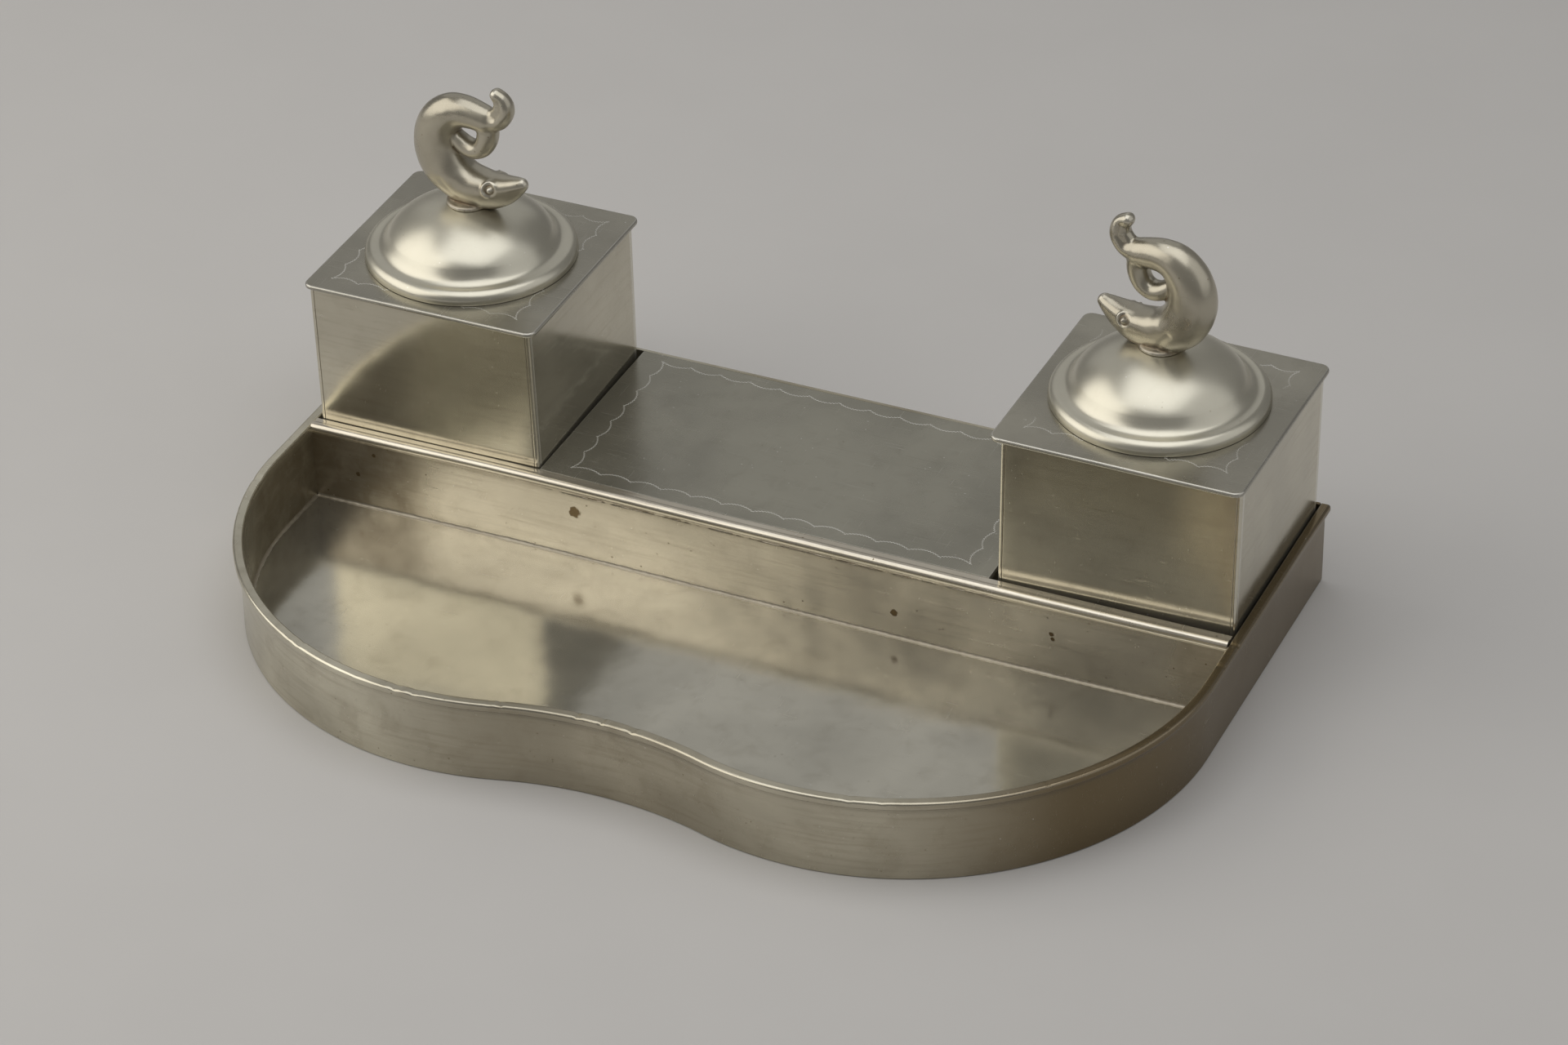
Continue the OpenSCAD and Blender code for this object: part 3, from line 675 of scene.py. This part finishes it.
# rings of a plate with rounded upright edges, from foot to top; the radii stand in the order
# (x0, y0), (x1, y0), (x1, y1), (x0, y1); a long side between two outer edges is grooved
def slab(x0, x1, y0, y1, edges):
    ring = []
    runs = ((x0, y0, 180, (1, 0)), (x1, y0, 270, (0, 1)), (x1, y1, 0, (-1, 0)),
            (x0, y1, 90, (0, -1)))
    for k, (cx, cy, a, way) in enumerate(runs):
        r, length = edges[k], x1 - x0 if way[0] else y1 - y0
        sx, sy = (1 if cx == x0 else -1), (1 if cy == y0 else -1)
        ring.append(bow(cx + sx * r, cy + sy * r, r, a, a + 90, 7))
        if length < 10:  # the ends of the plate are flat
            continue
        near, dent = np.array([0.35]), np.array([0.0])
        if min(r, edges[(k + 1) % 4]) > 0.5:
            near = np.array([0.2, 0.36, 0.48, 0.62, 0.95])
            dent = np.array([0, 0, case["groove"], 0.03, 0])
        s = np.linspace(0, 1, int(length / case["cell"]) + 1)[1:-1] * (length - 2 * r)
        dent = join([dent, np.zeros(len(s)), dent[::-1]])
        s = join([near, s, length - 2 * r - near[::-1]])
        inward = np.array([-way[1], way[0]])
        ring.append(ring[-1][-1] + s[:, None] * np.array(way) + dent[:, None] * inward)
    ring = join(ring)
    z0, z1 = case["low"], case["high"]
    z = join([[z0, z0 + 0.3], np.linspace(z0 + 2, z1 - 2, 13), [z1 - 0.3, z1]])
    grid = np.empty((len(z), len(ring), 3))
    grid[..., :2] = ring[None]
    grid[..., 2] = z[:, None]
    return grid


# the slab moved to where the box's corners stand: u and v run across the box and blend four
# corners, t runs from the deck up to the plate and blends the two sets
def askew(grid, side):
    low, high = np.array(corners[side], float)
    u, v = grid[..., :1] / case["w"] + 0.5, grid[..., 1:2] / case["d"] + 0.5
    t = np.clip((grid[..., 2:] - base["rim"]) / (case["high"] - base["rim"]), 0, 1)
    foot, head = [(1 - v) * ((1 - u) * c[0] + u * c[1]) + v * (u * c[2] + (1 - u) * c[3])
                  for c in (low, high)]
    return join([(1 - t) * foot + t * head, grid[..., 2:]], -1)


def boxWalls(side):  # front and back run the whole width, the sides stand between them
    w, d, t, e, seam = case["w"] / 2, case["d"] / 2, case["t"], case["edge"], case["seam"]
    out = -1 if side == "left" else 1
    walls = {"box_front": slab(-w, w, -d, -d + t, (e, e, seam, seam)),
             "box_back": slab(-w, w, d - t, d, (seam, seam, e, e))}
    for label, s in (("box_outer_side", out), ("box_inner_side", -out)):
        x0, x1 = sorted((s * w, s * (w - t)))
        walls[label] = slab(x0, x1, -d + t, d - t, (seam,) * 4)
    for label, grid in walls.items():
        name = f"{side}_{label}"
        piece(name + "_sheet", tubeMesh([askew(grid, side)]), "boxPewter", side + "_box",
              [name], smooth=35)


# a top plate: width, depth, radius of its corners, thickness, radius of its edge and its mouth,
# how deep and long its dents are, and how deep its wriggle-work lies
plate = {"w": 76.2, "d": 74.1, "r": 3.0, "t": 1.5, "edge": 0.68, "mouth": 26.4, "dent": 0.03,
         "dentSize": 45, "cutDeep": 0.05}


# the plate's outline drawn in by a distance: four corner arcs joined by straight runs
def plateRing(inset):
    w, d, r = plate["w"] / 2 - inset, plate["d"] / 2 - inset, max(plate["r"] - inset, 0.3)
    starts = ((w, d - r), (-(w - r), d), (-w, -(d - r)), (w - r, -d))
    s = np.linspace(0, 1, 26)[1:-1, None]
    ring = []
    for k, (sx, sy) in enumerate(((1, 1), (-1, 1), (-1, -1), (1, -1))):
        ring.append(bow(sx * (w - r), sy * (d - r), r, 90 * k, 90 * k + 90, 13))
        ring.append(ring[-1][-1] * (1 - s) + np.array(starts[(k + 1) % 4]) * s)
    return join(ring)


# rings from the mouth out over the top, round the edge, a quarter circle above and another
# below, and back under the plate to the mouth
def topPlate(side):
    middle, outer = np.array(boxes[side]["mouth"], float), plateRing(0)
    way = unit(outer - middle)
    hole, lip = [middle + way * (plate["mouth"] + more) for more in (0, 0.25)]
    top, low, e = plateTop, plateTop - plate["t"], plate["edge"]
    inner, under = plateRing(e + 0.35), plateRing(e * 0.8 + 0.5)
    rings = [(hole, low + 0.2), (hole, top - 0.25), (lip, top)]
    rings += [(lip * (1 - s) + inner * s, top) for s in (0.25, 0.5, 0.75, 1.0)]
    for a in np.radians([0, 15, 35, 55, 75, 90]):
        rings.append((plateRing(e * (1 - math.sin(a))), top - e * (1 - math.cos(a))))
    for a in np.radians([0, 35, 70, 90]):
        rings.append((plateRing(e * 0.8 * (1 - math.cos(a))), low + e * 0.8 * (1 - math.sin(a))))
    rings += [(under, low), (lip, low)]
    grid = np.stack([join([r, np.full((len(r), 1), z)], 1) for r, z in rings])
    dent = plate["dent"] * (1 + waves(grid, 41 + len(side), plate["dentSize"]))
    grid[..., 2] -= np.where(np.abs(grid[..., 2] - top) < 1e-6, dent, 0)
    name = f"{side}_top_plate"
    piece(name + "_sheet", ringMesh(placed(grid, side, 0, False)), "platePewter", side + "_box",
          [name], smooth=35)


def plateWriggle(side):  # the zigzag laid level on the plate
    level = plateTop - plate["cutDeep"]
    grid = wriggled(scallops(side), lambda x, y: np.full_like(x, level))
    piece(f"{side}_plate_wriggle", ringMesh(placed(grid, side, 0, False)), "cutPewter",
          side + "_box", smooth=20)


# the lid: radius of its dome, height of the dome's foot and crown above the plate, thickness,
# radius of the finial's seat, and the power that slims the dome from an ellipse
dome = {"r": 25.6, "foot": 4.5, "crown": 17.6, "t": 1.4, "seat": 6.8, "slim": 1.12,
        "wobble": 0.012}
# the seat's height above the plate: where an ellipse from foot to crown has the seat's radius
seatZ = math.sqrt(1 - (dome["seat"] / dome["r"]) ** 2)
seatZ = dome["foot"] + (dome["crown"] - dome["foot"]) * seatZ


def domeAngle(r):  # where on the dome's curve its radius is r
    return math.acos((r / dome["r"]) ** (1 / dome["slim"]))


# the lid's section: edge, rounded shoulder, hollow cove, dome (a cosine to the power slim out, a
# sine to that power up) and seat, then the hollow underside, a quarter of an ellipse
def lidLine():
    d, seat, slim = dome, dome["seat"], dome["slim"]
    edge = [[31.7, 0.0], [31.93, 0.12], [32.0, 0.35], [32.0, 1.0]]
    shoulder = bow(29.1, 1.0, 2.9, 0, 90, 20, 2.95)[1:]
    a = np.linspace(domeAngle(24.3), domeAngle(seat + 0.2), 48)
    high = (seatZ - d["foot"]) / math.sin(domeAngle(seat)) ** slim
    shell = np.stack([d["r"] * np.cos(a) ** slim, d["foot"] + high * np.sin(a) ** slim], 1)
    cove = eased([[29.1, 3.95], [28.35, 4.04], [27.55, 4.24], [26.8, 4.63], [26.12, 5.24],
                  [25.5, 6.04], [24.92, 6.94], shell[0]], 5)[1:-1]
    top = [[seat + 0.1, seatZ - 0.02], [seat, seatZ], [4, seatZ], [1.6, seatZ],
           [1.55, seatZ - 0.05]]
    inner, under = d["r"] - d["t"], seatZ - d["t"]
    b = np.linspace(math.acos(6.4 / inner), 0, 30)
    hollow = np.stack([inner * np.cos(b),
                       d["foot"] + (d["crown"] - d["foot"] - d["t"]) * np.sin(b)], 1)
    return join([edge, shoulder, cove, shell, top,
                 [[1.55, under + 0.05], [1.7, under], [4, under]], hollow,
                 [[inner, 1.5], [inner, 0.15], [inner + 0.15, 0.0]]])


# sections of the other turned pieces, as (radius, height above the plate)
collarLine = [[27.6, -1.5], [27.6, -10.3], [27.4, -10.5], [23.6, -10.5], [23.4, -10.3],
              [23.4, -9.2], [23.6, -9.0], [26.2, -9.0], [26.4, -8.8], [26.4, -1.5]]
potLine = join([
    [[0, -63.0], [18, -63.0]], bow(20.0, -60.0, 3.0, 270, 360, 6),
    [[23.0, -40], [23.0, -10.5], [23.0, -9.05], [25.4, -9.0]], bow(25.0, -8.0, 1.0, 300, 360, 4),
    bow(25.0, -7.5, 1.0, 0, 90, 5), bow(21.3, -7.3, 0.8, 90, 180, 5),
    [[20.5, -12], [20.5, -40]], bow(17.5, -57.5, 3.0, 0, -90, 6), [[8, -60.5], [0, -60.5]]])
spigotLine = [[24.8, 0.0], [24.8, -3.75], [25.0, -4.0], [25.75, -4.0], [26.0, -3.75], [26.0, 0.0]]
rivetLine = [[r, seatZ + h] for r, h in ((0, -2.6), (2.4, -2.55), (3.6, -2.3), (4.0, -1.95),
                                         (4.0, -1.5), (3.9, -1.4), (1.6, -1.4), (1.5, -1.3),
                                         (1.5, 4.9), (1.4, 5.0), (0, 5.0))]
# each turned piece: its section, metal, body, slot, the node it stands for, its sides, its wobble
lathe = {"collar_tube": (collarLine, "boxPewter", "box", "box_pewter", "collar", 192, 0),
         "glass_pot": (potLine, "potGlass", "ink_pot", "liner_glass", "liner", 192, 0),
         "lid_turned": (lidLine(), "lidPewter", "lid_body", "lid_pewter", "lid", 256,
                        dome["wobble"]),
         "spigot_ring": (spigotLine, "lidPewter", "lid_body", "lid_pewter", "lid_spigot", 192, 0),
         "rivet_domed": (rivetLine, "lidPewter", "lid_body", "lid_pewter", "finial_rivet", 64, 0)}


# a section turned about the mouth's middle; wobble draws it in and down by slow waves
def turnedPiece(side, label):
    line, metal, body, slot, replaced, sides, wobble = lathe[label]
    grid = turned(line, sides)
    if wobble:
        drawn = (grid[..., 2] > 0.3) * wobble * (1 + waves(grid, 51 + len(side), 22))
        grid = grid - (unit(grid * [1, 1, 0]) + [0, 0, 1]) * drawn[..., None]
    piece(f"{side}_{label}", ringMesh(placed(grid, side, plateTop)), metal, f"{side}_{body}",
          [f"{side}_{replaced}"])


for side in boxes:
    boxWalls(side)
    topPlate(side)
    plateWriggle(side)
    for label in lathe:
        turnedPiece(side, label)
print("stage: boxes and lids")

# the curled fish: stations of [along, up, half depth, half thickness, lean to a rounded triangle]
fishBody = [[19.1, 11.4, 2.1, 2.0, 0], [17.3, 10.4, 3.0, 2.8, 0.04], [12.6, 8.2, 4.8, 4.3, 0.08],
            [6.4, 6.7, 6.1, 5.4, 0.07], [-0.8, 7.6, 6.9, 6.2, 0.03], [-6.6, 11.6, 7.4, 6.8, 0],
            [-9.2, 17, 7.4, 6.8, 0], [-9.5, 22.2, 7.1, 6.5, 0], [-7.8, 27, 6.5, 6, 0],
            [-4.4, 30.4, 5.8, 5.4, 0], [-0.4, 31.6, 5.1, 4.8, 0], [3.8, 31.3, 4.6, 4.4, 0],
            [8.2, 30.4, 4.2, 4, 0]]
fishTail = [[7, 30, 3.4, 3.5, 0], [8.1, 27, 3.4, 3.5, 0], [7.6, 23.6, 3.3, 3.5, 0],
            [5.9, 20.8, 3.1, 3.4, 0], [3.2, 19.5, 3.0, 3.3, 0], [0.3, 20.1, 2.9, 3.3, 0],
            [-2.4, 22.0, 2.6, 3.0, 0], [-5.0, 23.8, 2.2, 2.6, 0]]
fishFin = [[8.2, 30.2, 3.3, 3.4, 0], [11.8, 32, 3.6, 3.5, 0], [13.8, 35.1, 3.3, 3.5, 0],
           [13.4, 38.1, 2.8, 3.1, 0], [11.4, 40.2, 2, 2.4, 0]]
fishFoot = [[0, 0], [6.5, 0], [6.75, 0.2], [6.8, 0.6], [6.7, 1.0], [6.4, 1.3], [4, 1.6], [0, 1.7]]
# how it is cast and worked: its fineness, its softening, then lines as (points, height, width)
fish = {"voxel": 0.27, "soften": 14, "sides": 40, "steps": 10, "blunt": 0.8, "tall": 0.996,
        "rubReach": 1.8, "rubTimes": 6,
        "headRidge": ([[-1, 11.6], [6, 10.4], [12.5, 10.2], [18, 11.2]], 0.12, 1.2),
        "gillFold": ([[-5.6, 10.2], [-3.2, 7.2], [-1.3, 4.2]], -0.25, 1.0),
        "finHollow": ([[11.5, 33.6], [13.3, 35.6], [13.0, 38.2]], -0.9, 1.7)}
# each eye: its place, how high and wide its bead is, how high and large the ring round it is,
# which way the ring is thick, and how dark the bead is
eyes = {"left": {"at": (10.1, 9.4), "bead": 0.55, "size": 0.8, "ring": 0.75, "round": 2.1,
                 "thick": 150, "dark": 0.0},
        "right": {"at": (9.8, 9.5), "bead": 1.1, "size": 0.95, "ring": 0.4, "round": 2.1,
                  "thick": -20, "dark": 0.5}}


# sections along the eased stations, each an ellipse swollen by the cosine of three times its
# angle; at both ends rings shrink to a point as those of a flattened ball
def fishSkin(stations):
    line = eased(stations, fish["steps"])
    ahead = unit(np.gradient(line[:, :2], axis=0))
    across = np.stack([-ahead[:, 1], ahead[:, 0]], 1)
    turn = np.linspace(0, 2 * np.pi, fish["sides"], endpoint=False)
    swell = 1 + line[:, 4:5] * np.cos(3 * turn)
    deep = line[:, 2:3] * np.cos(turn) * swell
    grid = np.stack([line[:, :1] + across[:, :1] * deep, line[:, 3:4] * np.sin(turn) * swell,
                     line[:, 1:2] + across[:, 1:] * deep], -1)
    caps = []
    for end, way in ((0, -1), (-1, 1)):
        centre = np.array([line[end, 0], 0, line[end, 1]])
        out = np.array([ahead[end, 0], 0, ahead[end, 1]]) * way
        reach = min(line[end, 2], line[end, 3]) * fish["blunt"]
        arc = np.radians([25, 50, 70, 85, 90])[:, None, None]
        caps.append(centre + (grid[end] - centre) * np.cos(arc) + out * reach * np.sin(arc))
    return join([caps[0][::-1], grid, caps[1]])


# distance from points in the fish's plane to a run of straight lines
def toLine(p, stations):
    s = np.asarray(stations, float)
    best = np.full(len(p), 1e9)
    for a, b in zip(s[:-1], s[1:]):
        d = b - a
        t = np.clip(((p - a) @ d) / (d @ d), 0, 1)
        best = np.minimum(best, np.linalg.norm(p - a - t[:, None] * d, axis=1))
    return best


# body, tail, fin and foot melted into one skin, then each point drawn to its neighbours' mean
def fishBlank(side):
    down = [0, boxes[side]["sink"], 0, 0, 0]
    tubes = [fishSkin(np.array(part) - down) for part in (fishBody, fishTail, fishFin)]
    thing = addThing("fish", tubeMesh(tubes + [turned(fishFoot, 96)], False))
    remesh = thing.modifiers.new("remesh", "REMESH")
    remesh.mode, remesh.voxel_size = "VOXEL", fish["voxel"] * mm
    graph = bpy.context.evaluated_depsgraph_get()
    shape = bpy.data.meshes.new_from_object(thing.evaluated_get(graph))
    bpy.data.objects.remove(thing)
    p = averaged(rowsOf(shape.vertices, "co", 3) / mm, edgeEnds(shape), fish["soften"])
    shape.vertices.foreach_set("co", (p * mm).ravel())
    shape.update()
    return shape, p


# the blank lifted along its normals: an eye, a bead in a hollow and a ring that is thick on one
# side, ridge and folds that fade as bells from their lines, slow unevenness; dark is how dark
# each point is, at the bead and along the foot
def fishShape(side):
    shape, p = fishBlank(side)
    n = rowsOf(shape.vertices, "normal", 3)
    q = p[:, [0, 2]] + [0, boxes[side]["sink"]]
    flank = np.clip(np.abs(n[:, 1]) * 1.6 - 0.25, 0, 1)
    eye = eyes[side]
    d, t = q - eye["at"], math.radians(eye["thick"])
    rho = np.linalg.norm(d, axis=1)
    heavy = np.clip(0.5 + 0.75 * (d @ [math.cos(t), math.sin(t)]) / np.maximum(rho, 0.2), 0, 1)
    lift = eye["bead"] * bell(rho, eye["size"]) - 0.4 * bell(rho - eye["round"] * 0.62, 0.5)
    lift += eye["ring"] * bell(rho - eye["round"], 0.5) * heavy
    for part in ("headRidge", "gillFold", "finHollow"):
        stations, high, wide = fish[part]
        lift += high * bell(toLine(q, stations), wide)
    lift *= flank
    lift += 0.07 * waves(p, 61, 9) + 0.02 * waves(p, 62, 3.5)
    low = p[:, 2] < 2.2
    lift[low] *= np.clip(p[low, 2] / 2.2, 0, 1)
    dark = np.maximum(bell(rho, eye["size"] * 1.1) * flank * eye["dark"],
                      np.clip((1.6 - p[:, 2]) / 0.6, 0, 0.42))
    p = p + n * lift[:, None]
    p[:, 2] = np.maximum(p[:, 2], 0) * fish["tall"]
    return shape, p, dark


# each fish turned, set on its seat and worn; where it is dark, rub goes to 0 and grime to 1
for side, b in boxes.items():
    mesh, p, dark = fishShape(side)
    p = placed(spun(p, b["yaw"]), side, plateTop + seatZ)
    mesh.vertices.foreach_set("co", (p * mm).ravel())
    mesh.update()
    addWear(mesh, fish["rubReach"], fish["rubTimes"])
    for name, aim in (("rub", 0.0), ("grimeAndShade", 1.0)):
        data = mesh.attributes[name].data
        value = rowsOf(data, "value", 1, np.float32)[:, 0]
        data.foreach_set("value", (value + (aim - value) * dark).astype(np.float32))
    piece(f"{side}_finial_cast", mesh, "finialPewter", f"{side}_lid_body",
          [f"{side}_finial"], smooth=80)
print("stage: finials")

# plates that keep the shape they were drawn with, and their metal
plain = {"floor_plate": "floorPewter", "rear_wall": "wallPewter", "left_socket_wall": "wallPewter",
         "right_socket_wall": "wallPewter", "left_box_bottom": "boxPewter",
         "right_box_bottom": "boxPewter"}
for name, metal in plain.items():
    data = nodes[name].data
    data.materials.clear()
    data.materials.append(metals[metal])

# the studio, in metres: each panel's radiance, colour, centre, width and height
studio = {"world": 0.18, "worldColour": (1.0, 0.98, 0.95, 1), "floor": (0.54, 0.528, 0.514),
          "floorSize": 6.0, "aimZ": 0.05,
          "panels": {"keyLeft": (1.45, (1.0, 0.965, 0.905), (-0.807, -0.393, 0.6), 1.28, 1.02),
                     "overhead": (1.3, (1, 1, 1), (0.06, -0.1, 1.35), 1.36, 1.4),
                     "rightSide": (0.46, (1, 1, 1), (0.98, 0.12, 0.66), 1.25, 1.15),
                     "leftBack": (0.24, (1, 1, 1), (-0.46, 0.9, 0.74), 1.2, 0.9)}}
# the camera: its bearing, height and tilt in degrees, its place in metres, its lens in mm
view = {"bearing": 24.942, "height": 33.917, "tilt": -1.164, "lens": 116.82, "sensor": 36,
        "at": (0.52613, -1.09408, 0.85579), "far": 20}


# stands a thing at a place, with its own three axes along the given ones
def stand(thing, right, up, back, at):
    m = np.eye(4)
    m[:3, 0], m[:3, 1], m[:3, 2], m[:3, 3] = right, up, back, at
    thing.matrix_world = Matrix(m.tolist())


def floorPaper():  # matt paper, a little mottled
    s, colour = Shader("paper"), studio["floor"]
    grain = s.span(s.noise(s.scaled(1), 0.02, 3), 0.3, 0.7)
    return s.surface(Base_Color=s.mix(grain, tuple(0.985 * c for c in colour), colour),
                     Roughness=0.9)


def paperFloor():  # a level square
    g = np.linspace(-0.5, 0.5, 3) * studio["floorSize"] * perMetre
    mesh = meshOf(flat(*np.meshgrid(g, g, indexing="ij")), gridFaces(3, 3, False, False))
    if mesh.polygons[0].normal.z < 0:
        mesh.flip_normals()
    mesh.materials.append(floorPaper())
    addThing("studio_floor", mesh)


# lamps that face the object; the energy of a panel is its radiance times pi times its area
def panels():
    for name, (radiance, colour, at, w, h) in studio["panels"].items():
        lamp = bpy.data.lights.new(name, "AREA")
        lamp.shape, lamp.size, lamp.size_y = "RECTANGLE", w, h
        lamp.energy, lamp.color = radiance * math.pi * w * h, colour
        thing = addThing(name, lamp)
        back = unit(np.array(at) - [0, 0, studio["aimZ"]])
        right = np.cross([0, 0, 1], back) if abs(back[2]) < 0.97 else np.array([1.0, 0, 0])
        right = unit(right - back * (right @ back))
        stand(thing, right, np.cross(back, right), back, at)
        thing.visible_camera = False
    world = bpy.data.worlds.new("studio")
    world.use_nodes = True
    level = world.node_tree.nodes["Background"]
    level.inputs["Color"].default_value = studio["worldColour"]
    level.inputs["Strength"].default_value = studio["world"]
    bpy.context.scene.world = world


def camera():  # back is the way from the object to the lens
    az, el, tilt = [math.radians(view[k]) for k in ("bearing", "height", "tilt")]
    back = np.array([math.sin(az) * math.cos(el), -math.cos(az) * math.cos(el), math.sin(el)])
    right = unit(np.cross(-back, [0, 0, 1]))
    up = np.cross(right, -back)
    data = bpy.data.cameras.new("camera")
    data.lens, data.sensor_width, data.clip_end = view["lens"], view["sensor"], view["far"]
    thing = addThing("camera", data)
    stand(thing, math.cos(tilt) * right + math.sin(tilt) * up,
          math.cos(tilt) * up - math.sin(tilt) * right, back, view["at"])
    bpy.context.scene.camera = thing


paperFloor()
panels()
camera()
bpy.context.scene.view_settings.view_transform = "Standard"
print("stage: studio")
